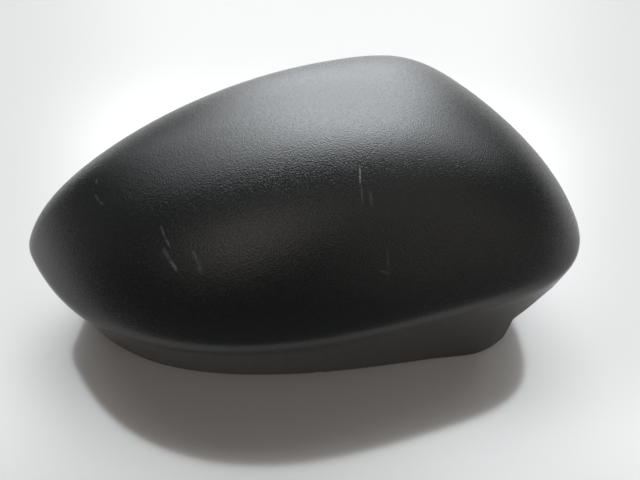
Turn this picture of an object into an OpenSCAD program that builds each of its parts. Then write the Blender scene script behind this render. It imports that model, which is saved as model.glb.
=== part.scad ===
// Wing mirror cover: a one-piece moulded cap that snaps over the front of a door mirror.
// It lies open side down. Z is up, the rim stands on z = 0 and the crown is at the top.
// X runs from the pointed tip to the inboard end, and -Y is the near side.

/* [Overall size] */
// Length of the crease outline along X, before the crease is rounded
crease_length = 233.5; // [215:0.5:250]
// Width of the crease outline along Y, before the crease is rounded
crease_width = 170; // [155:1:182]
// Height of the crown above the rim plane
crown_height = 98.5; // [90:0.5:106]
// Thickness of the moulded wall
wall = 2.5; // [2:0.1:3]

/* [Dome] */
// Distance of the crown from the middle of the length, towards the inboard end
crown_x = 17.5; // [8:0.5:22]
// Distance of the crown from the middle of the width, towards the near side
crown_y = 6.5; // [0:0.5:12]
// Length of the oval that the dome's level lines turn into near the crown
crown_oval_length = 168; // [150:1:185]
// Width of that oval
crown_oval_width = 132; // [120:1:145]
// Share of the reach over which the top of the dome stays flat
flat_share = 0.31; // [0.26:0.01:0.36]
// Share of the reach where the dome begins to fall away
shoulder_share = 0.68; // [0.6:0.01:0.74]
// Share of the reach at the steep part just above the crease
steep_share = 0.92; // [0.86:0.01:0.95]
// Height of that steep part, as a share of the dome's height
steep_height = 0.45; // [0.35:0.01:0.6]
// How much fuller the tip end is than the inboard end
tip_fullness = 0.12; // [0:0.01:0.16]
// How much fuller the far side is than the near side
far_fullness = 0.15; // [0:0.01:0.2]

/* [Crease and skirt] */
// Height of the crease above the rim plane, halfway along the length
crease_height = 44; // [40:1:48]
// How much higher the crease is at the inboard end than at the tip
crease_rise = 9; // [4:1:12]
// Size of the rounding along the crease
crease_round = 7.5; // [5:0.5:9]
// How far the rim rises off the rim plane under the tip
tip_lift = 10; // [4:0.5:12]
// Distance from the tip at which the rim meets the rim plane
tip_lift_length = 60; // [50:1:80]
// Depth of the step inside the rim
step_depth = 1.2; // [0.6:0.1:1.4]
// Height of the step inside the rim
step_height = 3; // [2:0.5:4]
// How far a stretch of the near rim stays off the rim plane
near_gap = 0.8; // [0:0.1:1.2]
// Width of the notch in the near rim
notch_width = 4; // [2:0.5:6]

/* [Arm recess] */
// X of the upright edge where the near skirt ends and the recess for the mirror arm begins
recess_x = 88; // [82:1:92]
// Y at which the recess ends, round the inboard end
recess_y = 6; // [0:1:16]
// Width of the strip left below the crease over the recess
recess_strip = 9; // [7:0.5:12]
// Radius of the skirt's lower corners at the recess
skirt_corner = 15; // [10:1:18]
// Height of the slanted edge that joins the upright edge to that strip
recess_slant = 12; // [8:1:16]
// Radius of the corner below the slanted edge
recess_corner = 3; // [2:0.5:6]
// Radius of the bends at the top of the recess
recess_bend = 8; // [5:1:10]

/* [Snap hooks] */
// Width of each hook along the rim
hook_width = 12; // [8:1:16]
// Thickness of the hook's blade
hook_thickness = 2.2; // [1.6:0.2:3]
// Height of the hook's top above the rim plane
hook_top = 26; // [20:1:30]
// Distance from the outside of the rim to the middle of the blade
hook_inset = 8; // [6.5:0.5:10]
// How far the catch stands out from the blade
hook_catch = 2; // [1:0.2:3]
// Thickness of the two gussets that hold a hook on the skirt
gusset_thickness = 1.6; // [1.2:0.2:2.4]

/* [Locating pegs] */
// Diameter of the pegs
peg_diameter = 6; // [4:0.5:8]
// Length of the straight part of a peg, below its fins
peg_length = 18; // [12:1:24]
// Depth of the fins at the root of a peg, below the outside of the dome
fin_depth = 16; // [10:1:20]
// Distance across the fins
fin_span = 20; // [14:1:26]

/* [Hidden] */

// Control cages of the crease and of the rim, seen from above, from the tip round by the near side.
crease_cage = [
    [-121, -6], [-113, -20], [-87, -52], [-40, -68], [15, -62], [70, -41],
    [118, -21], [118, 26], [81, 84], [49, 116], [-11, 87], [-86, 44]
];
rim_cage = [
    [-102, 4], [-94, -29], [-56, -46], [-12, -46], [30, -40], [66, -31],
    [100, -27], [99, 14], [77, 66], [45, 92], [-14, 68], [-76, 34]
];
sides = 120;                      // columns of facets round the shell
rim_samples = 480;                // samples of the rim outline
dome_rows = 17;
round_rows = 5;
wall_rows = 2;

// A smooth closed curve that a cage of control points steers.
function blend(f) = [
    pow(1 - f, 3) / 6,
    (3 * pow(f, 3) - 6 * f * f + 4) / 6,
    (-3 * pow(f, 3) + 3 * f * f + 3 * f + 1) / 6,
    pow(f, 3) / 6
];
function closed_curve(cage, count) = [
    for (k = [0:count - 1])
        let (t = k * len(cage) / count, i = floor(t), w = blend(t - i), m = len(cage))
        w[0] * cage[(i + m - 1) % m] + w[1] * cage[i % m]
            + w[2] * cage[(i + 1) % m] + w[3] * cage[(i + 2) % m]
];
function low(points) = [min([for (p = points) p.x]), min([for (p = points) p.y])];
function high(points) = [max([for (p = points) p.x]), max([for (p = points) p.y])];

// Both outlines are fitted to the crease's length and width, and centred on it.
raw_crease = closed_curve(crease_cage, sides);
raw_low = low(raw_crease);
raw_high = high(raw_crease);
fit_x = crease_length / (raw_high.x - raw_low.x);
fit_y = crease_width / (raw_high.y - raw_low.y);
function fitted(p) = [
    (p.x - (raw_low.x + raw_high.x) / 2) * fit_x,
    (p.y - (raw_low.y + raw_high.y) / 2) * fit_y
];
crown = [crown_x, -crown_y];
crease_line = [for (p = raw_crease) fitted(p) - crown];
rim_line = [for (p = closed_curve(rim_cage, rim_samples)) fitted(p) - crown];

function unit(v) = v / norm(v);
function smooth(x) = let (t = min(max(x, 0), 1)) t * t * (3 - 2 * t);

// Distance from the crown to a closed outline along the unit direction d.
function reach(line, d) = [
    for (i = [0:len(line) - 1])
        let (a = line[i], b = line[(i + 1) % len(line)], ca = cross(d, a), cb = cross(d, b))
        if (ca <= 0 && cb > 0 && a * d > 0) cross(a, b - a) / cross(d, b - a)
][0];

// The dome along direction d, where r is the reach of the crease: s runs from the crown to the crease.
function quartic(s, p) =
    pow(1 - s, 4) * p[0] + 4 * pow(1 - s, 3) * s * p[1] + 6 * pow((1 - s) * s, 2) * p[2]
        + 4 * (1 - s) * pow(s, 3) * p[3] + pow(s, 4) * p[4];
function crease_z(d, r) = crease_height + crease_rise * (crown.x + d.x * r) / crease_length;
function oval_reach(d) = 1 / norm([2 * d.x / crown_oval_length, 2 * d.y / crown_oval_width]);
function dome(d, r, s) =
    let (
        share = quartic(s, [0, flat_share, shoulder_share, steep_share, 1]),
        rise = quartic(s, [1, 1, 0.99, steep_height - tip_fullness * d.x + far_fullness * d.y, 0]),
        oval = oval_reach(d)
    )
    [
        share * (oval + (r - oval) * smooth(share)),
        crease_height + (crown_height - crease_height) * rise
            + (crease_z(d, r) - crease_height) * pow(share, 3)
    ];

// The skirt below the crease tucks in to the rim, where q is the rim's reach.
near_gap_from = 10;               // X at which the raised stretch of the near rim starts
near_gap_to = 66;                 // X at which it ends
near_gap_ramp = 8;                // length over which it rises and falls
function skirt(d, r, q, z) = let (c = crease_z(d, r)) [r + (q - r) * (c - z) / c, z];
function rim_z(p) =
    tip_lift * smooth((tip_lift_length - crease_length / 2 - p.x) / tip_lift_length)
        + (p.y > 0 ? 0
            : near_gap * smooth((p.x - near_gap_from) / near_gap_ramp)
                * smooth((near_gap_to - p.x) / near_gap_ramp));

function cubic(a, b, c, e, t) =
    pow(1 - t, 3) * a + 3 * pow(1 - t, 2) * t * b + 3 * (1 - t) * t * t * c + pow(t, 3) * e;

// One meridian of the outer skin, as [distance from the crown, height] from the crown to the rim.
function meridian(d) =
    let (
        r = reach(crease_line, d),
        q = reach(rim_line, d),
        s_end = 1 - crease_round / r / 2,
        start = dome(d, r, s_end),
        along = unit(start - dome(d, r, s_end - 0.01)),
        corner = [r, crease_z(d, r)],
        down = unit([q, 0] - corner),
        finish = corner + down * crease_round,
        handle = 0.55 * crease_round,
        z_rim = rim_z(crown + q * d)
    )
    concat(
        [for (k = [1:dome_rows]) dome(d, r, s_end * k / dome_rows)],
        [for (k = [1:round_rows])
            cubic(start, start + handle * along, finish - handle * down, finish, k / round_rows)],
        [skirt(d, r, q, z_rim + step_height), skirt(d, r, q, z_rim)]
    );

directions = [for (p = crease_line) unit(p)];
rows = dome_rows + round_rows + wall_rows;
outer = [
    for (d = directions) [for (m = meridian(d)) [crown.x + d.x * m[0], crown.y + d.y * m[0], m[1]]]
];
apex = [crown.x, crown.y, crown_height];
skin_points = [for (column = outer) each column];
middle = (low(skin_points) + high(skin_points)) / 2;

// Inner skin: the outer one moved in along its normal, on every second row of the dome.
function at(i, j) = j < 0 ? apex : outer[(i + sides) % sides][j];
function normal(i, j) =
    unit(cross(at(i, min(j + 1, rows - 1)) - at(i, j - 1), at(i + 1, j) - at(i - 1, j)));
function inset(i, j, t) =
    let (n = normal(i, j), side = norm([n.x, n.y]))
    outer[i][j] - t / side * [n.x / side, n.y / side, 0];
inner_dome = [for (j = [1:2:dome_rows - 2]) j];
inner_round = [dome_rows, dome_rows + 2, dome_rows + 4];
inner = [
    for (i = [0:sides - 1]) concat(
        [for (j = inner_dome) outer[i][j] - wall * normal(i, j)],
        [for (j = inner_round) outer[i][j] - wall * normal(i, j)],
        [
            inset(i, rows - 2, wall),
            inset(i, rows - 2, wall - step_depth),
            inset(i, rows - 1, wall - step_depth)
        ]
    )
];
inner_rows = len(inner[0]);

// The closed skin: crown, outer rows, then the inner rows and the crown's underside.
module shell() {
    below = 1 + sides * rows;
    points = concat(
        [apex], [for (i = [0:sides - 1]) each outer[i]],
        [apex - [0, 0, wall]], [for (i = [0:sides - 1]) each inner[i]]
    );
    function o(i, j) = 1 + (i % sides) * rows + j;
    function n(i, j) = below + 1 + (i % sides) * inner_rows + j;
    last = rows - 1;
    end = inner_rows - 1;
    faces = concat(
        [for (i = [0:sides - 1]) [0, o(i + 1, 0), o(i, 0)]],
        [for (i = [0:sides - 1], j = [0:last - 1]) [o(i, j), o(i + 1, j), o(i + 1, j + 1)]],
        [for (i = [0:sides - 1], j = [0:last - 1]) [o(i, j), o(i + 1, j + 1), o(i, j + 1)]],
        [for (i = [0:sides - 1]) [below, n(i, 0), n(i + 1, 0)]],
        [for (i = [0:sides - 1], j = [0:end - 1]) [n(i, j), n(i + 1, j + 1), n(i + 1, j)]],
        [for (i = [0:sides - 1], j = [0:end - 1]) [n(i, j), n(i, j + 1), n(i + 1, j + 1)]],
        [for (i = [0:sides - 1]) [o(i, last), o(i + 1, last), n(i + 1, end)]],
        [for (i = [0:sides - 1]) [o(i, last), n(i + 1, end), n(i, end)]]
    );
    polyhedron(points, faces, convexity = 6);
}

// Opening for the mirror arm: the overlap of its side view and its end view.
function bend(centre, radius, from, to) = [
    for (k = [0:6]) let (a = from + (to - from) * k / 6) centre + radius * [cos(a), sin(a)]
];
recess_top = crease_height + crease_rise * recess_x / crease_length - recess_strip;
turn_share = tan(45 / 2);         // how far a turn of 45 degrees reaches along its edges, per radius
module recess() {
    side_view = concat(
        bend([recess_x - skirt_corner, skirt_corner], skirt_corner, -90, 0),
        bend([recess_x + recess_corner, recess_top - recess_slant - recess_corner * turn_share],
            recess_corner, 180, 135),
        bend([recess_x + recess_slant + recess_bend * turn_share, recess_top - recess_bend],
            recess_bend, 135, 90),
        [[crease_length, recess_top + 1], [crease_length, -5], [recess_x - skirt_corner, -5]]
    );
    end_view = concat(
        bend([recess_y + skirt_corner, skirt_corner], skirt_corner, 270, 180),
        bend([recess_y - recess_bend, recess_top - recess_bend + 2], recess_bend, 0, 90),
        [[-crease_width, recess_top + 2], [-crease_width, -5], [recess_y + skirt_corner, -5]]
    );
    intersection() {
        translate([0, crease_width, 0]) rotate([90, 0, 0])
            linear_extrude(2 * crease_width) polygon(side_view);
        rotate([90, 0, 90]) linear_extrude(crease_length) polygon(end_view);
    }
}

// Height of the dome's outside above the place p, from samples along the meridian over it.
function roof(p) =
    let (d = unit(p - crown), r = reach(crease_line, d), line = [for (k = [0:30]) dome(d, r, k / 30)])
    norm(p - crown) < 0.01 ? crown_height : lookup(norm(p - crown), line);

// Distance along n from the place p to the outside of the skirt at height z.
function to_skirt(p, n, z, e = 0, turns = 4) =
    turns == 0 ? e
    : let (
        v = p + e * n - crown,
        d = unit(v),
        w = skirt(d, reach(crease_line, d), reach(rim_line, d), z)[0]
    )
    to_skirt(p, n, z, e + (w - norm(v)) / (d * n), turns - 1);

// Snap hooks stand inside the skirt, square to the rim. Each is placed by its bearing from the crown.
hook_bearings = [222, 302, 52, 100, 150];
hook_foot = 2;                    // height of the blade's lower end
catch_height = 4.5;
gusset_foot = 8;                  // height of the gusset's lower end
function bearing(a) = [cos(a), sin(a)];
function rim_place(a) = crown + reach(rim_line, bearing(a)) * bearing(a);
module hook(a) {
    place = rim_place(a);
    along = unit(rim_place(a + 1) - rim_place(a - 1));
    out = [along.y, -along.x];
    face = -hook_inset - hook_thickness / 2;
    back = -hook_inset + hook_thickness / 2;
    translate([place.x, place.y, 0]) rotate([90, 0, atan2(out.y, out.x)]) {
        translate([0, 0, -hook_width / 2]) linear_extrude(hook_width) polygon([
            [back, hook_foot], [back, hook_top], [face, hook_top], [face, hook_foot + catch_height],
            [face - hook_catch, hook_foot + catch_height - 1], [face - hook_catch, hook_foot + 2],
            [face, hook_foot]
        ]);
        for (side = [-1, 1]) {
            shift = side * (hook_width - gusset_thickness) / 2;
            base = place + shift * along;
            low_end = to_skirt(base, out, gusset_foot) - wall / 2;
            high_end = to_skirt(base, out, hook_top) - wall / 2;
            translate([0, 0, -shift - gusset_thickness / 2]) linear_extrude(gusset_thickness)
                polygon([[-hook_inset, gusset_foot], [low_end, gusset_foot],
                    [high_end, hook_top], [-hook_inset, hook_top]]);
        }
    }
}

// Locating pegs hang from the dome, with four fins each at the root.
peg_places = [[-48, -12], [52, 18]];
shoulder = 0.6;                   // how much stouter a peg's root is than its straight part
module fin(p, turn) {
    line = [for (k = [-4:4]) k / 4 * fin_span / 2];
    along = [cos(turn), sin(turn)];
    translate([p.x, p.y, 0]) rotate([90, 0, turn]) translate([0, 0, -gusset_thickness / 2])
        linear_extrude(gusset_thickness) polygon(concat(
            [for (k = line) [k, roof(p + k * along) - wall / 2]],
            [[fin_span / 2 - 4, roof(p) - fin_depth], [4 - fin_span / 2, roof(p) - fin_depth]]
        ));
}
module peg(p) {
    radius = peg_diameter / 2;
    foot = roof(p) - fin_depth - peg_length;
    translate([p.x, p.y, foot]) cylinder(h = peg_length + 1, r = radius, $fn = 48);
    translate([p.x, p.y, foot + peg_length])
        cylinder(h = fin_depth - wall / 2 - 0.2, r = radius + shoulder, $fn = 48);
    translate([p.x, p.y, foot - 1]) cylinder(h = 1, r1 = radius - 1, r2 = radius, $fn = 48);
    fin(p, 0);
    fin(p, 90);
}

notch_x = 8;                      // X of the middle of the notch
notch_height = 1.2;
module notch() {
    translate([notch_x - notch_width / 2, -crease_width / 2, -1])
        cube([notch_width, crease_width / 2, notch_height + 1]);
}

module mirror_cover() {
    color([0.14, 0.145, 0.14]) translate([-middle.x, -middle.y, 0]) difference() {
        union() {
            shell();
            for (a = hook_bearings) hook(a);
            for (p = peg_places) peg(p);
        }
        recess();
        notch();
    }
}

mirror_cover();
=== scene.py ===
import math

import bmesh
import bpy
from mathutils import Matrix, Vector


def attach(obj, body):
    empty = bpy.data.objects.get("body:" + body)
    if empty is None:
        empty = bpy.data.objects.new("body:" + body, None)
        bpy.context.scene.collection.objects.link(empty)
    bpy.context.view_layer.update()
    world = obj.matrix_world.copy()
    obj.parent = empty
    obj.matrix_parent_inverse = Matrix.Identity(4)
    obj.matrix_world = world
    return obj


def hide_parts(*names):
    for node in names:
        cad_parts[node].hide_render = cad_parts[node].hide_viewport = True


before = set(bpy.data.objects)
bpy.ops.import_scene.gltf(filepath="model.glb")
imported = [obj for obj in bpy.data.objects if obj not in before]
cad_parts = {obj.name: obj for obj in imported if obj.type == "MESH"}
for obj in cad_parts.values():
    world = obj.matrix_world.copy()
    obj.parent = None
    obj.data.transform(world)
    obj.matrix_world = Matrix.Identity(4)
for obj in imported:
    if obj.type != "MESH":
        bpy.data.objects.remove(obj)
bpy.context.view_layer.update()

# The grained black plastic cover of a car's door mirror, lying open side down on a glossy table.
print("frame loaded")


class Signal:
    # wraps a number socket, so that Python maths on it adds Math nodes
    def __init__(self, graph, socket):
        self.graph = graph
        self.socket = socket

    def maths(self, operation, first, second=0.0):
        return self.graph.number("ShaderNodeMath", {"operation": operation}, {0: first, 1: second})

    def __add__(self, other):
        return self.maths("ADD", self, other)

    def __radd__(self, other):
        return self.maths("ADD", other, self)

    def __sub__(self, other):
        return self.maths("SUBTRACT", self, other)

    def __rsub__(self, other):
        return self.maths("SUBTRACT", other, self)

    def __mul__(self, other):
        return self.maths("MULTIPLY", self, other)

    def __rmul__(self, other):
        return self.maths("MULTIPLY", other, self)

    def __abs__(self):
        return self.maths("ABSOLUTE", self)

    def atLeast(self, other):
        return self.maths("MAXIMUM", self, other)

    def fade(self, start, end):
        # 0 up to start, 1 from end on, and smooth between
        return self.graph.number(
            "ShaderNodeMapRange",
            {"interpolation_type": "SMOOTHSTEP", "clamp": True},
            {"Value": self, "From Min": start, "From Max": end},
        )


class Graph:
    def __init__(self, owner):
        # the owner is a material or a world
        owner.use_nodes = True
        self.owner = owner
        self.tree = owner.node_tree
        self.tree.nodes.clear()

    def node(self, kind, settings=None, inputs=None):
        made = self.tree.nodes.new(kind)
        for name, value in (settings or {}).items():
            if name == "stops":
                elements = made.color_ramp.elements
                elements.remove(elements[1])
                elements[0].position, elements[0].color = value[0][0], grey(value[0][1])
                for position, level in value[1:]:
                    elements.new(position).color = grey(level)
            else:
                setattr(made, name, value)
        for name, value in (inputs or {}).items():
            if isinstance(value, Signal):
                value = value.socket
            if isinstance(value, bpy.types.NodeSocket):
                self.tree.links.new(value, made.inputs[name])
            else:
                made.inputs[name].default_value = value
        return made

    def number(self, kind, settings=None, inputs=None, output=0):
        return Signal(self, self.node(kind, settings, inputs).outputs[output])

    def dot(self, first, second):
        return self.number(
            "ShaderNodeVectorMath", {"operation": "DOT_PRODUCT"}, {0: first, 1: second}, "Value"
        )

    def noise(self, place, scale, detail):
        return self.number(
            "ShaderNodeTexNoise", None, {"Vector": place, "Scale": scale, "Detail": detail}
        )

    def mixColour(self, factor, first, second):
        # sockets 6, 7 and 2 are the ones for colours
        mix = self.node("ShaderNodeMix", {"data_type": "RGBA"}, {0: factor, 6: first, 7: second})
        return mix.outputs[2]

    def finish(self, shader, output="ShaderNodeOutputMaterial"):
        self.node(output, inputs={"Surface": shader.outputs[0]})
        return self.owner


def grey(level):
    return (level, level, level, 1.0)


def direction(azimuth, elevation):
    turn, tilt = math.radians(azimuth), math.radians(elevation)
    return Vector((
        math.sin(turn) * math.cos(tilt),
        math.cos(turn) * math.cos(tilt),
        math.sin(tilt),
    ))


# The outer plastic. Sizes and depths are in metres, and scales are repeats in a metre.
plastic = {
    "colour": (0.0130, 0.0146, 0.0148, 1.0),
    "roughness": 0.25,
    "ior": 1.55,
    "grainSize": 0.00052,     # between the grain's pebbles
    "grainDepth": 0.00014,
    "fineSize": 0.0003,
    "fineDepth": 0.00001,
    "smudge": 0.05,           # how much handling changes the roughness
    "smudgeScale": 28.0,
    "polish": 0.35,           # how much smoother the pebbles' tops are
    "rub": 0.10,              # how much smoother the crease is
    "rubDepth": 0.7,          # how much flatter its grain is
    "creaseLean": 0.12,       # the upward part of the crease's normal
    "creaseFade": (0.12, 0.5),
}

# What the marks on the dome share.
scuff = {
    "colour": (0.20, 0.20, 0.215, 1.0),
    "roughness": 0.15,        # how much rougher a mark is
    "wander": 0.0006,         # metres by which a mark strays from its line
    "wanderScale": 420.0,
    "fleckScale": 900.0,
    "fleckFade": (0.38, 0.62),
    "fleck": 0.6,             # how much of a mark comes in flecks
    "plain": 0.6,             # how much of it is even
    "tail": 0.0004,           # metres by which it fades past its ends
    "full": (0.3, 0.55),      # the shares of its length between which it is strongest
    "edge": (0.2, 1.6),       # the shares of its half width over which it fades
    "leanFade": (0.05, 0.2),  # keeps the marks off the skirt
}

# Each mark's two ends as x, y, x, y in millimetres, its width in millimetres and its strength.
marks = [
    (19.2, -35.8, 19.8, -43.0, 0.6, 1.0),
    (19.9, -42.4, 20.9, -49.0, 0.5, 0.35),
    (23.2, -43.6, 24.2, -49.1, 1.1, 0.16),
    (30.3, -58.3, 31.5, -63.4, 0.6, 0.22),
    (31.7, -63.5, 28.2, -63.7, 0.7, 0.22),
    (-81.0, -30.0, -80.5, -31.6, 0.7, 0.45),
    (-80.6, -36.1, -77.7, -39.9, 0.6, 0.25),
    (-77.8, -39.7, -75.9, -41.8, 0.7, 0.3),
    (-51.4, -54.5, -49.0, -59.1, 0.6, 0.3),
    (-49.1, -58.8, -46.9, -62.0, 0.6, 0.45),
    (-49.9, -61.4, -46.4, -66.1, 1.3, 0.3),
    (-47.0, -65.2, -43.7, -68.6, 0.9, 0.6),
    (-38.8, -63.3, -36.8, -66.4, 0.8, 0.5),
    (-37.0, -65.9, -34.9, -70.0, 1.7, 0.2),
]


def markMask(graph, place, wander, mark):
    x0, y0, x1, y1, width, strength = mark
    length = math.hypot(x1 - x0, y1 - y0) / 1000
    half = width / 2000
    along = Vector(((x1 - x0) / 1000, (y1 - y0) / 1000, 0)).normalized()
    offset = graph.node(
        "ShaderNodeVectorMath", {"operation": "SUBTRACT"}, {0: place, 1: (x0 / 1000, y0 / 1000, 0)}
    ).outputs[0]
    travel = graph.dot(offset, along)
    across = abs(graph.dot(offset, (-along.y, along.x, 0)) + wander)
    fullFrom, fullTo = (length * share for share in scuff["full"])
    inner, outer = (half * share for share in scuff["edge"])
    begun = travel.fade(-scuff["tail"], fullFrom)
    ended = travel.fade(fullTo, length + scuff["tail"])
    return (1 - across.fade(inner, outer)) * (begun * (1 - ended)) * strength


def grainedPlastic():
    graph = Graph(bpy.data.materials.new("grainedBlackPlastic"))
    coords = graph.node("ShaderNodeTexCoord")
    place = coords.outputs["Object"]
    lean = graph.dot(coords.outputs["Normal"], (0, 0, 1))
    upward = lean.fade(*scuff["leanFade"])
    rubbed = 1 - abs(lean - plastic["creaseLean"]).fade(*plastic["creaseFade"])

    broad = graph.noise(place, plastic["smudgeScale"], 4.0)
    wander = (graph.noise(place, scuff["wanderScale"], 3.0) - 0.5) * scuff["wander"]
    fleck = graph.noise(place, scuff["fleckScale"], 2.0).fade(*scuff["fleckFade"])
    scuffed = None
    for mark in marks:
        mask = markMask(graph, place, wander, mark)
        scuffed = mask if scuffed is None else scuffed.atLeast(mask)
    scuffed = scuffed * upward * (scuff["plain"] + scuff["fleck"] * fleck)

    pebbles = graph.noise(place, 1 / plastic["grainSize"], 1.0)
    fine = graph.noise(place, 1 / plastic["fineSize"], 1.0)
    height = pebbles * (1 - plastic["rubDepth"] * rubbed)
    coarse = graph.node(
        "ShaderNodeBump", None,
        {"Strength": 1.0, "Distance": plastic["grainDepth"], "Height": height},
    ).outputs[0]
    surface = graph.node(
        "ShaderNodeBump", None,
        {"Strength": 1.0, "Distance": plastic["fineDepth"], "Height": fine, "Normal": coarse},
    ).outputs[0]
    roughness = plastic["roughness"] + (broad - 0.5) * plastic["smudge"]
    roughness = roughness - (pebbles - 0.5) * plastic["polish"]
    roughness = roughness + scuffed * scuff["roughness"] - rubbed * plastic["rub"]
    shader = graph.node(
        "ShaderNodeBsdfPrincipled", None,
        {
            "Base Color": graph.mixColour(scuffed, plastic["colour"], scuff["colour"]),
            "Roughness": roughness,
            "IOR": plastic["ior"],
            "Normal": surface,
        },
    )
    return graph.finish(shader)


# The plastic of the inner side, the rim and the recess.
lining = {
    "darkest": 0.012,
    "palest": 0.018,
    "toneFade": (0.35, 0.7),
    "roughness": 0.3,
    "smudge": 0.12,
    "smudgeScale": 35.0,
    "ior": 1.5,
    "fineScale": 1500.0,
    "fineDepth": 0.00001,
}


def innerPlastic():
    graph = Graph(bpy.data.materials.new("innerBlackPlastic"))
    place = graph.node("ShaderNodeTexCoord").outputs["Object"]
    broad = graph.noise(place, lining["smudgeScale"], 5.0)
    fine = graph.noise(place, lining["fineScale"], 2.0)
    tone = broad.fade(*lining["toneFade"])
    surface = graph.node(
        "ShaderNodeBump", None,
        {"Strength": 1.0, "Distance": lining["fineDepth"], "Height": fine},
    ).outputs[0]
    shader = graph.node(
        "ShaderNodeBsdfPrincipled", None,
        {
            "Base Color": graph.mixColour(tone, grey(lining["darkest"]), grey(lining["palest"])),
            "Roughness": lining["roughness"] + (broad - 0.5) * lining["smudge"],
            "IOR": lining["ior"],
            "Normal": surface,
        },
    )
    return graph.finish(shader)


# The cover's skin. Angles are in degrees.
cover = {
    "weld": 0.00002,          # metres within which loose corners join
    "sharpAngle": 34.0,       # past which an edge stays crisp
    "flatAngle": 12.0,        # up to which two triangles join to a quad
    "skewAngle": 60.0,        # how far that quad's corners may be from square
    "smoothing": 1,           # how often it is subdivided
}


def outerFaces(mesh):
    # spreads from the crown over the soft edges, so it stops at the rim and the recess
    start = max(mesh.faces, key=lambda face: face.calc_center_median().z)
    found, front = {start}, [start]
    while front:
        face = front.pop()
        for edge in face.edges:
            if edge.smooth:
                for other in edge.link_faces:
                    if other not in found:
                        found.add(other)
                        front.append(other)
    return found


def buildCover():
    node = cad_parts["mirror_cover"]
    mesh = bmesh.new()
    mesh.from_mesh(node.data)
    bmesh.ops.remove_doubles(mesh, verts=mesh.verts, dist=cover["weld"])
    limit = math.radians(cover["sharpAngle"])
    crease = mesh.edges.layers.float.new("crease_edge")
    for edge in mesh.edges:
        sharp = len(edge.link_faces) != 2 or edge.calc_face_angle(0) > limit
        edge.smooth = not sharp
        edge[crease] = 1.0 if sharp else 0.0
    outer = outerFaces(mesh)
    for face in mesh.faces:
        face.smooth = True
        face.material_index = 0 if face in outer else 1
    bmesh.ops.join_triangles(
        mesh,
        faces=mesh.faces,
        angle_face_threshold=math.radians(cover["flatAngle"]),
        angle_shape_threshold=math.radians(cover["skewAngle"]),
        cmp_sharp=True,
        cmp_materials=True,
    )
    data = bpy.data.meshes.new("coverSkin")
    mesh.to_mesh(data)
    mesh.free()
    data.materials.append(grainedPlastic())
    data.materials.append(innerPlastic())
    piece = bpy.data.objects.new("coverSkin", data)
    bpy.context.scene.collection.objects.link(piece)
    smoothing = piece.modifiers.new("smoothing", "SUBSURF")
    smoothing.levels = smoothing.render_levels = cover["smoothing"]
    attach(piece, "root")
    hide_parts("mirror_cover")
    print("cover skin:", len(data.polygons), "faces before smoothing")


# The table, in metres.
table = {
    "size": 8.0,
    "drop": 0.0002,           # how far it lies below the rim
    "colour": (0.675, 0.66, 0.645, 1.0),
    "gloss": 0.075,           # share of light that it mirrors
    "roughness": 0.13,
    "frontEdge": -0.18,       # past this y, glossy rays see painted shade instead of the table: a painted dark reflection
    "frontFade": 0.03,
    "paintedReflectionGrey": 0.08,       # the grey of that painted dark reflection
}


def glossyWhite():
    graph = Graph(bpy.data.materials.new("glossyWhiteTable"))
    paint = graph.node("ShaderNodeBsdfDiffuse", None, {"Color": table["colour"]})
    gloss = graph.node(
        "ShaderNodeBsdfGlossy", None, {"Color": grey(1.0), "Roughness": table["roughness"]}
    )
    pale = graph.node(
        "ShaderNodeMixShader", None, {0: table["gloss"], 1: paint.outputs[0], 2: gloss.outputs[0]}
    )
    # Painted reflection: past the front edge, glossy rays meet a flat dark grey instead of the
    # table, so the cover's near side mirrors painted shade, as of a dark room in front. To the
    # camera, the table goes on there.
    place = graph.node("ShaderNodeTexCoord").outputs["Object"]
    depth = graph.number("ShaderNodeSeparateXYZ", None, {0: place}, output=1)
    mirrored = graph.number("ShaderNodeLightPath", output="Is Glossy Ray")
    edge = table["frontEdge"]
    past = mirrored * (1 - depth.fade(edge - table["frontFade"], edge))
    # painted shade that only glossy rays see: the dark reflection in the cover's near side
    dark = graph.node("ShaderNodeBsdfDiffuse", None, {"Color": grey(table["paintedReflectionGrey"])})
    both = graph.node(
        "ShaderNodeMixShader", None, {0: past, 1: pale.outputs[0], 2: dark.outputs[0]}
    )
    return graph.finish(both)


def buildTable():
    mesh = bmesh.new()
    bmesh.ops.create_grid(mesh, x_segments=1, y_segments=1, size=table["size"] / 2)
    data = bpy.data.meshes.new("tableTop")
    mesh.to_mesh(data)
    mesh.free()
    data.materials.append(glossyWhite())
    top = bpy.data.objects.new("tableTop", data)
    top.location = (0, 0, -table["drop"])
    bpy.context.scene.collection.objects.link(top)


# The room, which gives all the light. Angles are in degrees.
room = {
    "level": 0.05,
    "colour": (1.0, 0.93, 0.88, 1.0),
    "bandColour": (0.93, 0.97, 1.0, 1.0),
    # Bands of light behind the cover. Each has the angles to the side over which it fades, and
    # its brightness by the angle up from the horizon behind the cover.
    "bands": (
        ((11.0, 25.0), (
            (-4, 0.0), (6, 4.2), (16, 3.6), (25, 2.4), (33, 2.2),
            (38, 7.2), (46, 7.0), (55, 3.9), (64, 2.3), (74, 0.0),
        )),
        ((30.0, 50.0), (
            (12, 0.0), (28, 1.6), (42, 1.5), (54, 1.6), (61, 3.4), (68, 1.3), (75, 0.0),
        )),
    ),
    # A colour ramp takes and gives 0 to 1, which stand here for these angles and 0 to this peak.
    "rampStart": -20,
    "rampSpan": 200,
    "rampPeak": 10.0,
    # Weak glows at the sides and in front, as azimuth (0 is away from the camera), elevation,
    # radius and brightness.
    "glows": (
        (-160, 55, 26, 1.0), (130, 20, 26, 0.35), (125, 50, 26, 0.35),
        (60, 62, 26, 0.4), (90, 12, 26, 0.12), (-90, 12, 26, 0.12),
    ),
}


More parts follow.
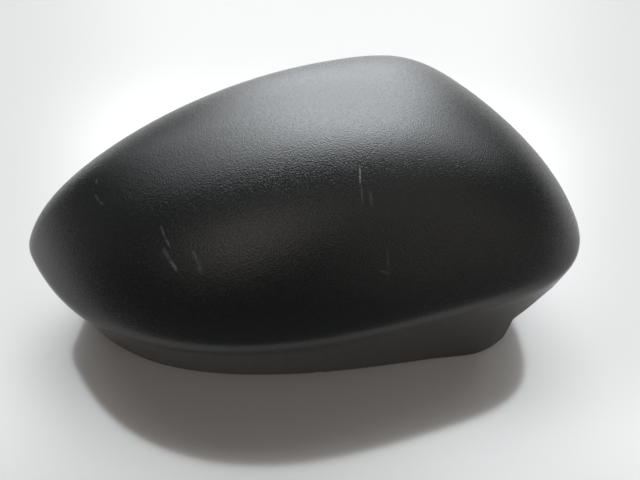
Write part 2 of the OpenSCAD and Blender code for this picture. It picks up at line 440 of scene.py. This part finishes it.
def buildRoom():
    world = bpy.data.worlds.new("room")
    graph = Graph(world)
    outward = graph.node("ShaderNodeTexCoord").outputs["Generated"]
    axes = graph.node("ShaderNodeSeparateXYZ", None, {0: outward})
    x, y, z = (Signal(graph, axes.outputs[index]) for index in range(3))
    start, span, peak = room["rampStart"], room["rampSpan"], room["rampPeak"]
    pitch = graph.number("ShaderNodeMath", {"operation": "ARCTAN2"}, {0: z, 1: y})
    rise = pitch * (math.degrees(1.0) / span) - start / span
    band = None
    for side, profile in room["bands"]:
        stops = [((angle - start) / span, strength / peak) for angle, strength in profile]
        ramp = graph.number("ShaderNodeValToRGB", {"stops": stops}, {"Fac": rise})
        near, far = (math.sin(math.radians(angle)) for angle in side)
        part = ramp * (1 - abs(x).fade(near, far)) * peak
        band = part if band is None else band + part
    level = room["level"] + band
    for azimuth, elevation, radius, strength in room["glows"]:
        closeness = graph.dot(outward, direction(azimuth, elevation))
        level = level + closeness.fade(math.cos(math.radians(radius)), 1.0) * strength
    colour = graph.mixColour(band.fade(0.0, 1.0), room["colour"], room["bandColour"])
    light = graph.node("ShaderNodeBackground", None, {"Color": colour, "Strength": level})
    graph.finish(light, "ShaderNodeOutputWorld")
    bpy.context.scene.world = world


# The camera, fitted to the photograph.
camera = {
    "focal": 694.06,          # pixels
    "imageWidth": 640,        # pixels
    "sensorWidth": 36,        # millimetres
    "elevation": 45.91,       # degrees
    "roll": 2.48,             # degrees
    "distance": 0.31281,      # metres from the point that it looks at
    "target": (0.00613, -0.01258, 0.030),
    "nearest": 0.01,          # metres from which it sees
}


def buildCamera():
    tilt, roll = math.radians(camera["elevation"]), math.radians(camera["roll"])
    back = Vector((0, -math.cos(tilt), math.sin(tilt)))
    right = Vector((1, 0, 0))
    up = Vector((0, math.sin(tilt), math.cos(tilt)))
    turnedRight = right * math.cos(roll) + up * math.sin(roll)
    turnedUp = up * math.cos(roll) - right * math.sin(roll)
    data = bpy.data.cameras.new("photoView")
    data.sensor_width = camera["sensorWidth"]
    data.lens = camera["focal"] * data.sensor_width / camera["imageWidth"]
    data.clip_start = camera["nearest"]
    view = bpy.data.objects.new("photoView", data)
    axes = Matrix((turnedRight, turnedUp, back)).transposed().to_4x4()
    position = Vector(camera["target"]) + back * camera["distance"]
    view.matrix_world = Matrix.Translation(position) @ axes
    bpy.context.scene.collection.objects.link(view)
    bpy.context.scene.camera = view


buildCover()
buildTable()
print("cover and table made")
buildRoom()
buildCamera()
bpy.context.scene.view_settings.view_transform = "Standard"
print("room and camera made")

print("done")
